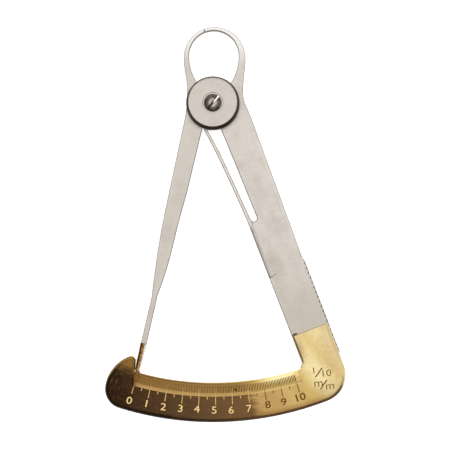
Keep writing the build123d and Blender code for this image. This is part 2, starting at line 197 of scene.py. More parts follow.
def alongArm(x, y, lean, side):
    # distance down an arm and out across it, for an arm that leans by so many degrees
    turn = math.radians(lean)
    across = times(x, side)
    down = minus(times(across, math.sin(turn)), times(y, math.cos(turn)))
    out = plus(times(across, math.cos(turn)), times(y, math.sin(turn)))
    return down, out


def aroundPivot(x, y):
    # distance from the pivot, and angle in degrees to the right of straight down
    radius = calc("SQRT", plus(times(x, x), times(y, y)))
    angle = times(calc("ARCTAN2", x, times(y, -1.0)), math.degrees(1))
    return radius, angle


def offMark(value, first, pitch):
    # how far a value is from the nearest of a row of marks, as a share of their pitch
    turns = calc("FRACT", times(minus(value, first - pitch / 2), 1 / pitch))
    return calc("ABSOLUTE", minus(turns, 0.5))


def spot(x, y, place, reach):
    # 1 in the middle of a soft oval and 0 outside it
    right = times(minus(x, place[0]), 1 / reach[0])
    up = times(minus(y, place[1]), 1 / reach[1])
    return ease(plus(times(right, right), times(up, up)), 1.0, 0.0)


# Painting: "at" holds what is known of a place, by name, and every mask is kept there too

def bounded(at, bounds):
    # how far a place lies within all of some bounds, 0 to 1: each bound names a mask, or a value
    # with the numbers that it is eased between
    mask = None
    for name, *span in bounds:
        part = ease(at[name], *span) if span else at[name]
        mask = part if mask is None else times(mask, part)
    return mask


def heaped(at, bounds):
    # the sum of some eased values
    return plus(*(ease(at[name], *span) for name, *span in bounds))


def mixPaint(at, look, name):
    # a plain colour, one that changes with the angle, or one that turns into another
    if name in look.get("blends", {}):
        first, second, *bounds = look["blends"][name]
        return mixed(bounded(at, bounds), mixPaint(at, look, first), mixPaint(at, look, second))
    colour = look["colours"][name]
    if isinstance(colour, list):
        return ramp(at["angle"], colour)
    return colour if isinstance(colour, bpy.types.NodeSocket) else linear(colour)


def paintOver(colour, at, look, patches):
    # patches of paint, one over the other, each with its paint, share and bounds
    for name, (paint, share, *bounds) in patches.items():
        at[name] = bounded(at, bounds)
        colour = mixed(times(at[name], share), colour, mixPaint(at, look, paint))
    return colour


def mattShare(at, matt):
    # how much of the bare metal's shine is lost: the strongest of some masks counts
    strongest = None
    for share, *bounds in matt:
        part = times(bounded(at, bounds), share)
        strongest = part if strongest is None else calc("MAXIMUM", strongest, part)
    return strongest


def setMetal(shader, colour, roughness, matt=None):
    put(shader.inputs["Base Color"], colour)
    put(shader.inputs["Roughness"], roughness)
    put(shader.inputs["Metallic"], 1.0 if matt is None else flipped(matt))


def bumpFrom(shader, height, distance):
    node = nodeFor("ShaderNodeBump", height)
    put(node.inputs["Strength"], 1.0)
    put(node.inputs["Distance"], distance)
    put(node.inputs["Height"], height)
    put(shader.inputs["Normal"], node.outputs[0])


def dress(name, material):
    for slot in nodes[name].material_slots:
        slot.material = material


# Steel arms: down and out are measured from the pivot, along the arm and across it

steelLook = {
    "colours": {
        "steel": (196, 189, 181), "dull": (182, 174, 166), "bright": (208, 201, 194),
        # the bevel and wall colours are painted shade for the bevels, side walls and notches; the bevel
        # colour also darkens the grit
        "low": (178, 169, 159), "jaw": (226, 223, 219), "bevel": (104, 99, 95), "wall": (78, 74, 71),
        "stain": (158, 134, 108), "solder": (104, 92, 80), "gap": (82, 70, 60), "seam": (232, 226, 220),
    },
    "roughness": 0.28,
    "roughCloud": 0.12,
    "brushSlant": -18.0,
    "brushDepth": 0.004 * mm,
    "fineStreak": (2.2, 0.11, 4.0),  # length, pitch and detail
    "broadStreak": (3.5, 0.9),
    "cloudScale": (0.2, 0.3),
    "speckle": (2.2, 4.0, 0.7),
    "lowFrom": (40.0, 57.0),
    "grit": [("fine", 0.5, 0.75), ("speckle", 0.5, 0.7)],
    "brushed": {
        "clouded": ("dull", 1.0, ("cloud", 0.35, 0.75)),
        "brightStreaks": ("bright", 0.4, ("broad", 0.45, 0.75)),
        "dullStreaks": ("dull", 0.45, ("fine", 0.4, 0.75)),
        "speckled": ("dull", 0.3, ("speckle", 0.5, 0.7)),
        "lowEnd": ("low", 1.0, ("lowShare",)),
        "gritty": ("bevel", 0.09, ("grit",), ("down", 10.0, 50.0)),
        "jaws": ("jaw", 0.8, ("y", 9.0, 17.0)),
    },
    # painted shade: bevels and side walls darker, for the dark room that they mirror
    "edges": {
        "bevels": ("bevel", 1.0, ("flat", 0.95, 0.75)),
        "walls": ("wall", 1.0, ("flat", 0.5, 0.1)),
    },
}
pointerArmLook = {"lean": 13.0, "side": -1, "lowShare": (0.32, 0.54)}
scaleArmLook = {
    "lean": 21.2,
    "side": 1,
    "lowShare": (0.0, 0.75),
    "notches": (45.135, 1.27),  # where the first one is, and their pitch
    "masks": {"front": [("z", 0.9, 1.1)]},
    "spots": {
        "gapSpot": ((60.75, -1.75), (0.5, 0.95)),
        "stainSpot": ((43.0, -0.1), (6.0, 3.4)),
        "solderSpot": ((45.0, -1.4), (0.24, 1.5)),
    },
    "marked": {
        "gap": ("gap", 1.0, ("gapSpot",), ("front",)),
        "stain": ("stain", 0.35, ("stainSpot",), ("broad", 0.2, 0.8), ("front",)),
        "solder": ("solder", 0.6, ("solderSpot",), ("front",)),
        # painted highlight: a lighter band along the arm's outer edge
        "softEdge": ("bright", 0.35, ("down", 9.0, 13.0), ("down", 42.0, 38.0), ("out", 6.3, 6.8)),
        # painted shade in the notches of the grip
        "notchWalls": (
            "wall", 0.9, ("offNotch", 0.3, 0.16), ("out", 6.74, 6.86), ("down", 44.535, 44.635),
            ("flat", 0.4, 0.6),
        ),
    },
    "seamed": {
        # the brazed seam of the leaf spring hardly shows
        "seam": (
            "seam", 1.0, ("down", 31.2, 31.6), ("down", 45.4, 45.0), ("out", -1.78, -1.72),
            ("out", -1.42, -1.48), ("flat", 0.5, 0.6),
        ),
    },
    "matt": [(0.95, ("seam",))],
}


def armPlace(tree, look, arm):
    # where a place on an arm lies, and the brushing there
    x, y, z = millimetres(tree)
    down, out = alongArm(x, y, arm["lean"], arm["side"])
    slantDown, slantOut = rotated(down, out, look["brushSlant"])
    at = {"y": y, "z": z, "down": down, "out": out, "flat": steepness(tree)}
    at["fine"] = streaks(slantOut, slantDown, z, *look["fineStreak"])
    at["broad"] = streaks(slantOut, slantDown, z, *look["broadStreak"])
    at["cloud"] = clouds(down, out, z, look["cloudScale"])
    at["speckle"] = noise(combine(x, y, z), *look["speckle"])
    at["lowShare"] = ease(down, *look["lowFrom"], *arm["lowShare"])
    at["grit"] = heaped(at, look["grit"])
    return at


def markScaleArm(colour, at, look, arm):
    # notches of the grip with painted shade in them, stain and solder beside the leaf spring, gap at the
    # brass, painted highlight along the edge
    at["offNotch"] = offMark(at["down"], *arm["notches"])
    for name, (place, reach) in arm["spots"].items():
        at[name] = spot(at["down"], at["out"], place, reach)
    for name, bounds in arm["masks"].items():
        at[name] = bounded(at, bounds)
    return paintOver(colour, at, look, arm["marked"])


def makeSteel(name, look, arm):
    material, tree, shader = newMaterial(name)
    at = armPlace(tree, look, arm)
    colour = paintOver(linear(look["colours"]["steel"]), at, look, look["brushed"])
    if "marked" in arm:
        colour = markScaleArm(colour, at, look, arm)
    colour = paintOver(colour, at, look, look["edges"])
    colour = paintOver(colour, at, look, arm.get("seamed", {}))
    roughness = plus(look["roughness"], times(at["cloud"], look["roughCloud"]))
    setMetal(shader, colour, roughness, mattShare(at, arm.get("matt", [])))
    bumpFrom(shader, at["fine"], look["brushDepth"])
    return material


dress("scale_arm", makeSteel("armSteel", steelLook, scaleArmLook))
dress("pointer_arm", makeSteel("pointerSteel", steelLook, pointerArmLook))
print("stage: steel arms dressed")


# Cover, screw, nut and washer: steel turned on a lathe

turnedLook = {
    "crossLean": 35.0,
    "crossStreak": (2.5, 0.22),
    "ringTurn": 0.01,
    "ringDetail": 4.0,
    "cloud": (0.35, 2.0),
    "mottle": (1.3, 5.0, 0.7),
    "patchy": [("cloud", 0.5, 0.75, 0.0, 0.3), ("mottle", 0.45, 0.7, 0.0, 0.35)],
    "wornFrom": (0.4, 0.65),
    "roughCloud": 0.1,
}
coverLook = {
    "colours": {"steel": (192, 184, 176), "dull": (176, 168, 160), "edge": (70, 62, 55)},
    "roughness": 0.28,
    "ringPitch": 0.16,
    "ringShare": 0.4,
    "ringDepth": 0.004 * mm,
    "wear": 0.55,
    "rimLean": (0.05 / 5.93, -0.24 / 5.93),  # the painted shade on the bevel is thinner where it looks up and left, towards the light, and wider at the lower right
    # painted shade on the bevel around the cover
    "patches": {"rim": ("edge", 1.0, ("rimRadius", 5.93, 6.1))},
    "matt": [(0.8, ("radius", 2.37, 2.43), ("radius", 2.73, 2.67), ("flat", 0.98, 0.9))],
}
screwLook = {
    "colours": {
        # the dull colour is dark here: the head's lathe marks show partly their own dull tone and partly a
        # painted reflection of the dark room
        "steel": (196, 184, 172), "dull": (104, 97, 90), "edge": (84, 80, 73),
        "slotDark": (48, 38, 32), "slotLight": (244, 234, 222),
    },
    "blends": {"slot": ("slotDark", "slotLight", ("alongSlot", -0.2, 0.7), ("acrossSlot", 0.15, 0.0))},
    "roughness": 0.18,
    "ringPitch": 0.5,
    "ringShare": 0.5,
    "ringDepth": 0.03 * mm,
    "wear": 1.0,
    "slotLean": 52.0,
    "patches": {
        # painted shade on the dome's edge; the slot's floor is painted shade with a painted glint along one
        # side of its far end
        "edges": ("edge", 1.0, ("flat", 0.99, 0.95)),
        "slotFloor": ("slot", 1.0, ("z", 4.72, 4.66), ("offSlot", 0.36, 0.3)),
    },
}
nutLook = {
    "colours": {"steel": (196, 188, 181), "dull": (170, 162, 155), "edge": (84, 79, 75)},
    "roughness": 0.34,
    "ringPitch": 0.12,
    "ringShare": 0.5,
    "ringDepth": 0.005 * mm,
    "wear": 1.0,
    # painted shade on the nut's tilted faces
    "patches": {"edges": ("edge", 1.0, ("flat", 0.9, 0.6))},
}
washerLook = {
    "colours": {"steel": (150, 145, 140), "dull": (120, 115, 110), "edge": (84, 79, 75)},
    "roughness": 0.31,
    "ringPitch": 0.12,
    "ringShare": 0.5,
    "ringDepth": 0.004 * mm,
    "wear": 1.0,
    # painted shade on the washer's side walls
    "patches": {"edges": ("edge", 1.0, ("flat", 0.5, 0.1))},
}


def turnedPlace(tree, look, shared):
    # where a place on a turned piece lies, and the marks of the lathe there
    x, y, z = millimetres(tree)
    radius, angle = aroundPivot(x, y)
    at = {"z": z, "radius": radius, "flat": steepness(tree)}
    ringPlace = combine(times(radius, 1 / look["ringPitch"]), times(angle, shared["ringTurn"]), z)
    rings = noise(ringPlace, 1.0, shared["ringDetail"])
    crossing = streaks(*rotated(x, y, shared["crossLean"]), z, *shared["crossStreak"])
    at["marks"] = plus(times(rings, look["ringShare"]), times(crossing, 1 - look["ringShare"]))
    at["cloud"] = noise(combine(x, y, z), *shared["cloud"])
    at["mottle"] = noise(combine(x, y, z), *shared["mottle"])
    at["patchy"] = heaped(at, shared["patchy"])
    if "rimLean" in look:
        right, up = look["rimLean"]
        at["rimRadius"] = plus(radius, plus(times(x, right), times(y, up)))
    if "slotLean" in look:
        at["alongSlot"], at["acrossSlot"] = rotated(x, y, look["slotLean"])
        at["offSlot"] = calc("ABSOLUTE", at["acrossSlot"])
    return at


def makeTurned(name, look, shared):
    material, tree, shader = newMaterial(name)
    at = turnedPlace(tree, look, shared)
    wear = {
        "worn": ("dull", look["wear"], ("marks", *shared["wornFrom"])),
        "patched": ("dull", 1.0, ("patchy",)),
    }
    colour = paintOver(linear(look["colours"]["steel"]), at, look, wear)
    colour = paintOver(colour, at, look, look["patches"])
    roughness = plus(look["roughness"], times(at["cloud"], shared["roughCloud"]))
    setMetal(shader, colour, roughness, mattShare(at, look.get("matt", [])))
    bumpFrom(shader, at["marks"], look["ringDepth"])
    return material


dress("cover_disc", makeTurned("coverSteel", coverLook, turnedLook))
dress("pivot_screw", makeTurned("screwSteel", screwLook, turnedLook))
dress("pivot_nut", makeTurned("nutSteel", nutLook, turnedLook))
dress("spring_washer", makeTurned("washerSteel", washerLook, turnedLook))
print("stage: pivot dressed")


# Brass scale plate: angles are in degrees to the right of straight down

plateLook = {
    "shape": {
        "zeroAngle": 15.65, "swing": 32.348, "lean": 21.2, "bandInner": 69.4, "recessOuter": 72.05,
        "bandOuter": 79.15, "elbowLine": -1.88, "top": 2.1, "floor": 1.5,
    },
    "colours": {
        # painted reflection: the polished field's colour holds the dark room that it mirrors on the left
        # and the bright one on the right
        "field": [
            (-18.0, (40, 26, 14)), (-14.0, (60, 42, 25)), (-4.0, (82, 60, 38)), (2.0, (96, 72, 44)),
            (7.2, (104, 77, 48)), (8.9, (176, 142, 86)), (12.5, (178, 144, 88)), (15.1, (190, 162, 102)),
            (17.3, (183, 153, 90)), (19.4, (197, 172, 108)), (21.5, (223, 207, 157)),
            (23.0, (219, 202, 150)), (25.5, (205, 181, 124)), (28.5, (228, 210, 160)),
        ],
        # painted reflection: like the field, the recess floor and walls, the inner wall and rim and the
        # outer rim grow lighter from left to right
        "floor": [
            (-16.0, (150, 114, 62)), (-8.0, (160, 124, 70)), (5.0, (168, 132, 76)), (9.0, (190, 156, 92)),
            (14.0, (204, 176, 108)), (16.5, (196, 168, 104)), (17.1, (196, 168, 106)),
            (18.0, (200, 173, 112)),
        ],
        "wall": [
            (-16.0, (204, 164, 102)), (0.0, (204, 168, 102)), (7.0, (208, 172, 102)),
            (10.0, (238, 206, 134)), (16.5, (234, 204, 134)), (17.1, (234, 206, 142)),
        ],
        "innerWall": [
            (-16.0, (186, 146, 84)), (0.0, (196, 158, 94)), (7.0, (214, 180, 112)),
            (11.0, (250, 230, 172)), (18.0, (252, 240, 192)),
        ],
        "innerRim": [
            (-16.0, (100, 76, 30)), (2.0, (132, 106, 52)), (8.0, (168, 140, 72)),
            (12.0, (244, 226, 160)), (18.0, (250, 236, 180)),
        ],
        "rim": [
            (-26.0, (48, 32, 18)), (-8.0, (60, 42, 26)), (3.0, (100, 74, 46)), (10.0, (152, 116, 70)),
            (16.0, (176, 138, 84)), (21.0, (200, 178, 124)),
        ],
        # painted shade: brown (mostly), low edge and side (side also darkens grain); painted highlights:
        # outer side, elbow side, floor light, bulb top and the light gold; the last colour paints a dark
        # pit and a painted shadow
        "back": (176, 142, 86), "brown": (140, 98, 54), "lowEdge": (46, 30, 16), "side": (70, 46, 18),
        "outerSide": (150, 134, 100), "elbowSide": (232, 212, 158), "floorLight": (255, 238, 180),
        "lineLight": (246, 212, 148), "lineDark": (112, 80, 40), "tenthDark": (104, 74, 36),
        "tenthPale": (150, 112, 58), "bulbTop": (158, 118, 58), "bulbRim": (228, 188, 118),
        "scratch": (166, 134, 92), "streakDark": (44, 28, 15), "grime": (34, 22, 10),
    },
    # painted light and shade: engraved marks turn from light to dark where the painted reflection turns
    # from dark to bright; side walls lighter at the elbow
    "blends": {
        "strokes": ("lineLight", "tenthDark", ("angle", 7.0, 9.0)),
        "lines": ("lineLight", "lineDark", ("angle", 7.4, 8.6)),
        "tenths": ("tenthPale", "tenthDark", ("angle", -4.0, 8.0)),
        "sides": ("side", "outerSide", ("angle", 20.0, 21.0), ("y", -71.0, -68.5)),
    },
    "roughness": 0.26,
    "roughCloud": 0.14,
    "specular": 0.5,
    "streakDepth": 0.005 * mm,
    "arcPerDegree": 1.33,  # millimetres along the band
    "fineStreak": (3.0, 0.12, 4.0),
    "broadStreak": (7.0, 0.5),
    "cloudScale": (0.3, 0.45),
    "mottle": (1.1, 4.0),
    "scratchLean": 70.0,
    "scratchStreak": (3.0, 0.3, 2.0),
    "unrest": (12.0, 18.0, 4.5, 1.0),  # how far the streaks push the field's colours about
    "fieldLean": (75.5, 0.28),
    "leftWorn": (18.0, 8.0, 0.05, 0.35),
    "rightWorn": [("angle", 7.5, 10.5, 0.0, 0.12), ("angle", 18.5, 15.5)],
    "bulbLean": (20.0, 0.45),
    "sweep": 5.0,
    "broadShare": (0.25, 0.8),
    "fineShare": 0.35,
    "spots": {
        "sheenSpot": ((29.4, -71.9), (6.0, 4.0)),
        "pitSpot": ((5.6, -71.0), (0.42, 0.34)),
        "footSpot": ((-19.9, -68.9), (0.34, 1.5)),
    },
    "masks": {
        "front": [("z", 0.5, 0.8)],
        "recess": [("pastWall", 0.58, 0.55), ("front",), ("angle", -18.1, -17.9), ("angle", 17.9, 17.7)],
        "tilted": [("flat", 0.98, 0.82)],
        "upright": [("flat", 0.4, 0.1)],
        "lowRim": [("y", -68.5, -71.5), ("pastRim", -2.55, -2.05)],
        "elbow": [("angle", 17.9, 18.0), ("front",)],
        "onBulb": [("aboveFloor", 0.1, 0.2), ("angle", -16.0, -16.4)],
    },
    "fieldPatches": {
        "streaked": ("streakDark", 1.0, ("broad", 0.45, 0.8), ("wornShare",)),
        "scratched": ("scratch", 0.16, ("fine", 0.5, 0.8)),
        "mottled": ("scratch", 1.0, ("mottle", 0.45, 0.75), ("angle", 8.0, 12.0, 0.05, 0.27)),
    },
    # on the recess floor: grain; near the inner edge a painted highlight on the right and painted shade on
    # the left; a painted highlight by the wall on the left
    "floorPatches": {
        "floorGrain": ("side", 0.2, ("fine", 0.4, 0.8)),
        "floorLight": (
            "floorLight", 0.75, ("pastInner", 2.0, 0.7), ("angle", 8.0, 13.0), ("angle", 17.2, 16.0, 0.4),
        ),
        "floorShade": ("side", 0.4, ("pastInner", 1.1, 0.7), ("angle", 10.0, 5.0)),
        "floorEdge": ("bulbRim", 0.3, ("pastWall", -0.45, -0.05), ("angle", 9.0, 5.0)),
    },
    "wallPatches": {
        "wallTop": ("floor", 1.0, ("pastWall", 0.34, 0.12), ("angle", 4.0, 9.0, 0.45, 0.85)),
        "wallGrain": ("floor", 0.35, ("fine", 0.45, 0.7)),
    },
    "recessPatches": {
        # the recess's floor and wall in their painted reflection colours
        "recessFloor": (
            "floor", 1.0, ("recess",), ("flat", 0.9, 0.98), ("aboveFloor", -0.025, -0.015),
            ("aboveFloor", 0.025, 0.015),
        ),
        "recessWall": (
            "wall", 1.0, ("recess",), ("flat", 0.35, 0.45), ("flat", 0.95, 0.85),
            ("pastWall", -0.08, -0.02),
        ),
        # whole millimetres show as strokes across the recess and its side
        "strokes": (
            "strokes", 1.0, ("recess",), ("offMark", 0.045, 0.02), ("angle", -15.1, -14.9),
            ("angle", 17.0, 16.8), ("pastInner", 0.9, 1.5), ("broad", 0.3, 0.6),
            ("angle", -8.0, -2.0, 0.14, 0.5),
        ),
    },
    # painted reflection on the rounded rims; painted shade on the lower rim and side walls; painted
    # highlights on the inner and bulb sides; a brown band by the outer rim on the right
    "edgePatches": {
        "outerRim": ("rim", 1.0, ("tilted",), ("pastRim", -2.5, -2.0)),
        "innerRim": ("innerRim", 1.0, ("tilted",), ("pastInner", 0.5, 0.4), ("recess",)),
        "brownRim": (
            "brown", 1.0, ("pastRim", -2.55, -0.65), ("angle", 7.8, 9.0), ("angle", 24.0, 17.0, 0.4),
            ("broadShare",),
        ),
        "warmRim": ("brown", 1.0, ("lowRim",), ("flat", 0.99, 0.86), ("angle", 2.0, 10.0)),
        "lowSide": ("lowEdge", 1.0, ("lowRim",), ("flat", 0.9, 0.66)),
        "sides": ("sides", 1.0, ("upright",)),
        "innerSide": (
            "innerWall", 1.0, ("upright",), ("pastInner", 0.5, 0.4), ("angle", -16.1, -15.9),
            ("angle", 18.5, 18.3),
        ),
        "bulbSide": ("bulbRim", 1.0, ("upright",), ("angle", -15.9, -16.3), ("bulbHeight", -71.5, -68.5)),
    },
    # a painted highlight on the elbow's right side; painted shade across the neck and at its lower right,
    # along the elbow's inner edge and as a dark line at it
    "elbowPatches": {
        "elbowSide": (
            "elbowSide", 1.0, ("out", 5.6, 5.8), ("y", -70.0, -66.5), ("angle", 20.0, 20.4),
            ("flat", 0.99, 0.93), ("flat", 0.25, 0.5),
        ),
        "neck": (
            "brown", 0.3, ("out", 1.5, 5.2), ("down", 78.0, 66.0, 0.2), ("front",), ("angle", 19.0, 21.0),
        ),
        "sheen": ("brown", 0.3, ("sheenSpot",), ("front",)),
        "elbowShade": (
            "brown", 0.6, ("pastElbow", 1.9, -0.3), ("elbow",), ("down", 59.4, 64.6), ("down", 69.6, 64.4),
        ),
        "elbowLine": ("side", 0.8, ("pastElbow", -0.1, -0.25), ("elbow",), ("down", 68.6, 67.5)),
    },
    # engraved lines: painted light in the dark part of the field and painted dark in the bright part, as
    # grooves look against the painted reflection
    "linePatches": {
        "lines": (
            "lines", 1.0, ("aboveTop", -0.124, -0.116), ("aboveTop", -0.008, -0.016),
            ("angle", -16.5, -16.3), ("angle", 17.3, 17.1), ("pastWall", 0.56, 0.62),
            ("pastWall", 2.93, 2.87),
        ),
        "tenths": (
            "tenths", 0.7, ("recess",), ("aboveFloor", -0.005, -0.03), ("pastInner", 0.55, 0.65),
            ("pastWall", 0.05, -0.05),
        ),
    },
    # scratches on the bulb, a painted golden highlight on its top and upper rim, a dark pit, and a painted
    # shadow along the base of the stop
    "wearPatches": {
        "bulbScratches": ("scratch", 0.42, ("angle", -16.6, -18.5), ("bulbStreak", 0.6, 0.8)),
        "bulbGold": ("bulbTop", 0.8, ("sweep", -68.2, -62.8), ("onBulb",), ("fineShare",)),
        "upperRim": ("bulbRim", 1.0, ("flat", 0.8, 0.55), ("onBulb",), ("bulbHeight", -71.5, -68.5)),
        "pit": ("grime", 1.0, ("pitSpot",), ("front",)),
        "foot": ("grime", 0.8, ("footSpot",), ("front",)),
    },
    "matt": [
        (0.75, ("lines",)), (0.8, ("recessWall",)), (0.7, ("tenths",), ("angle", 8.0, -4.0)),
        (0.8, ("innerSide",)), (0.8, ("upperRim",)), (0.9, ("bulbSide",)), (0.9, ("lowSide",)),
        (0.8, ("elbowSide",)),
    ],
}


def platePlace(tree, look):
    # where a place on the plate lies, from the plate's own edges too
    shape = look["shape"]
    x, y, z = millimetres(tree)
    radius, angle = aroundPivot(x, y)
    down, out = alongArm(x, y, shape["lean"], 1)
    return {
        "x": x, "y": y, "z": z, "radius": radius, "angle": angle, "down": down, "out": out,
        "flat": steepness(tree),
        "pastInner": minus(radius, shape["bandInner"]),
        "pastWall": minus(radius, shape["recessOuter"]),
        "pastRim": minus(radius, shape["bandOuter"]),
        "pastElbow": minus(out, shape["elbowLine"]),
        "aboveTop": minus(z, shape["top"]),
        "aboveFloor": minus(z, shape["floor"]),
        "offMark": offMark(angle, -shape["zeroAngle"], shape["swing"] / 10),
    }


def addPlateGrain(at, look):
    # polishing streaks that follow the arc, clouds and scratches
    x, y, z, radius = at["x"], at["y"], at["z"], at["radius"]
    around = times(at["angle"], look["arcPerDegree"])
    at["fine"] = streaks(around, radius, z, *look["fineStreak"])
    at["broad"] = streaks(around, radius, z, *look["broadStreak"])
    at["cloud"] = clouds(x, y, z, look["cloudScale"])
    at["mottle"] = noise(combine(x, y, z), *look["mottle"])
    at["bulbStreak"] = streaks(*rotated(x, y, look["scratchLean"]), z, *look["scratchStreak"])
    middle, lean = look["bulbLean"]
    at["bulbHeight"] = plus(y, times(plus(x, middle), lean))
    at["sweep"] = plus(at["bulbHeight"], times(minus(plus(at["broad"], at["fine"]), 1.0), look["sweep"]))
    least, share = look["broadShare"]
    at["broadShare"] = plus(least, times(at["broad"], share))
    at["fineShare"] = plus(look["fineShare"], at["fine"])
    at["wornShare"] = plus(ease(at["angle"], *look["leftWorn"]), bounded(at, look["rightWorn"]))


def fieldColour(at, look):
    # the painted reflection of the room: its edges are ragged along the streaks and lean with the radius
    unrest = times(minus(at["broad"], 0.5), ease(at["angle"], *look["unrest"]))
    middle, lean = look["fieldLean"]
    ragged = plus(at["angle"], unrest, times(minus(middle, at["radius"]), lean))
    field = ramp(ragged, look["colours"]["field"])
    return mixed(at["front"], linear(look["colours"]["back"]), field)


def makePlateBrass(name, look):
    material, tree, shader = newMaterial(name)
    at = platePlace(tree, look)
    addPlateGrain(at, look)
    for maskName, bounds in look["masks"].items():
        at[maskName] = bounded(at, bounds)
    for spotName, (place, reach) in look["spots"].items():
        at[spotName] = spot(at["x"], at["y"], place, reach)
    colour = paintOver(fieldColour(at, look), at, look, look["fieldPatches"])
    colours = dict(look["colours"])
    look = {**look, "colours": colours}
    for part in ("floor", "wall"):
        # the painted floor takes the place of the plain one, because the wall borrows from it
        colours[part] = paintOver(mixPaint(at, look, part), at, look, look[part + "Patches"])
    for group in ("recess", "edge", "elbow", "line", "wear"):
        colour = paintOver(colour, at, look, look[group + "Patches"])
    matt = mattShare(at, look["matt"])
    roughness = plus(look["roughness"], times(at["cloud"], look["roughCloud"]))
    setMetal(shader, colour, roughness, matt)
    put(shader.inputs["Specular IOR Level"], times(flipped(matt), look["specular"]))
    bumpFrom(shader, at["fine"], look["streakDepth"])
    return material


dress("scale_plate", makePlateBrass("plateBrass", plateLook))


# Brass pin and point

tipLook = {
    "colours": {"gold": (180, 138, 72), "brown": (90, 62, 30), "pale": (232, 226, 214)},
    "roughness": 0.28,
    "lean": 13.0,
    "middle": 3.36,
    "grain": (1.6, 0.18, 4.0),
    "grainDepth": 0.008 * mm,
    "waviness": 0.5,
    "blotch": (0.7, 0.3, 2.0),
    "blotchSeed": 9.0,
    # painted shade on one side of the pin and on its point, a painted reflection of the white floor along
    # its other side, and blotches
    "patches": {
        "shadeSide": ("brown", 1.0, ("wavy", 0.0, 0.35)),
        "blotches": ("brown", 1.0, ("blotch", 0.42, 0.6)),
        "paleSide": ("pale", 1.0, ("across", -0.2, -0.4), ("down", 69.0, 68.4)),
        "point": ("brown", 0.7, ("down", 68.4, 69.0)),
    },
    "matt": [(0.7, ("paleSide",))],
}


def makeTipBrass(name, look):
    material, tree, shader = newMaterial(name)
    x, y, z = millimetres(tree)
    down, out = alongArm(x, y, look["lean"], -1)
    across = minus(out, look["middle"])
    grain = streaks(down, across, z, *look["grain"])
    at = {"down": down, "across": across}
    at["wavy"] = plus(across, times(minus(grain, 0.5), look["waviness"]))
    at["blotch"] = streaks(down, across, plus(z, look["blotchSeed"]), *look["blotch"])
    colour = paintOver(linear(look["colours"]["gold"]), at, look, look["patches"])
    setMetal(shader, colour, look["roughness"], mattShare(at, look["matt"]))
    bumpFrom(shader, grain, look["grainDepth"])
    return material


dress("pointer_tip", makeTipBrass("tipBrass", tipLook))
print("stage: brass dressed")


# Stamped figures and the unit mark

figureLook = {
    "height": 1.84,
    "wide": 1.2,
    "radius": 76.2,
    "nudges": [
        (-0.2, -0.25), (-0.1, 0.0), (-0.15, 0.0), (-0.15, 0.15), (-0.35, 0.35), (-0.35, 0.15),
        (-0.45, 0.0), (-0.35, 0.0), (0.15, 0.3), (-0.1, 0.1), (-0.3, 0.1),
    ],  # stamped by hand, so each stands a little off, in millimetres
    "bold": 0.03 * mm,
    "boldFrom": 8,
    "bevel": 0.04 * mm,
    "lift": 0.02,
    "haloBold": 0.07 * mm,
    "haloShift": (0.08, -0.07),
    "haloLift": 0.008,
    "unit": [
        ("1", (25.0, -66.2), 1.6, 8.0), ("/", (26.2, -66.75), 2.8, -16.0), ("10", (28.0, -66.85), 1.7, 6.0),
        ("m", (26.15, -69.25), 1.95, 6.0), ("/", (27.4, -69.75), 2.8, -16.0),
        ("m", (29.0, -69.95), 1.95, 6.0),
    ],  # text, place, height and turn
    "unitBold": 0.008 * mm,
    "unitLift": 0.024,
    "unitHaloBold": 0.024 * mm,
    "unitShift": (-0.12, 0.03),
    "unitHaloLift": 0.006,
    "unitStep": 0.002,  # each sign lies a little higher than the last, so that no two share a plane
    "sizePerHeight": 1.37,
    "curveSteps": 4,
    "bevelSteps": 1,
    # painted light and shade: strokes light where the field's painted reflection is dark and dark where it
    # is bright, the copies beneath the other way round
    "strokeLightAndShade": [
        (-16.0, (224, 190, 128)), (8.9, (222, 188, 124)), (9.9, (112, 78, 34)), (18.5, (108, 75, 33)),
        (19.6, (108, 76, 34)), (27.0, (104, 73, 32)),
    ],
    "halo": [
        (-16.0, (30, 18, 8)), (7.4, (32, 20, 10)), (8.2, (84, 56, 24)), (9.3, (88, 60, 26)),
        (10.2, (226, 196, 128)), (18.5, (228, 198, 130)), (19.6, (242, 224, 168)), (27.0, (240, 220, 164)),
    ],
    "roughness": 0.36,
    "grainScale": 2.5,
    "grainShift": 0.8,
    "grainDepth": 0.01 * mm,
}


def meshObject(name, mesh, material):
    data = bpy.data.meshes.new(name)
    bmesh.ops.recalc_face_normals(mesh, faces=mesh.faces)
    mesh.to_mesh(data)
    mesh.free()
    made = bpy.data.objects.new(name, data)
    bpy.context.scene.collection.objects.link(made)
    data.materials.append(material)
    return made


def addText(mesh, text, look, place, height, turn, bold, bevel=0.0):
    # stamped lettering, centred on a place in millimetres and turned by degrees
    curve = bpy.data.curves.new("text", "FONT")
    curve.body = text
    curve.size = height * look["sizePerHeight"] * mm
    curve.align_x = "CENTER"
    curve.align_y = "CENTER"
    curve.resolution_u = look["curveSteps"]
    curve.offset = bold
    curve.bevel_depth = bevel
    curve.bevel_resolution = look["bevelSteps"]
    carrier = bpy.data.objects.new("text", curve)
    bpy.context.scene.collection.objects.link(carrier)
    bpy.context.view_layer.update()
    data = bpy.data.meshes.new_from_object(carrier.evaluated_get(bpy.context.evaluated_depsgraph_get()))
    moved = Matrix.Translation([length * mm for length in place])
    turned = Matrix.Rotation(math.radians(turn), 4, "Z")
    data.transform(moved @ turned @ Matrix.Diagonal((look["wide"], 1, 1, 1)))
    mesh.from_mesh(data)
    bpy.data.objects.remove(carrier)
    bpy.data.curves.remove(curve)
    bpy.data.meshes.remove(data)


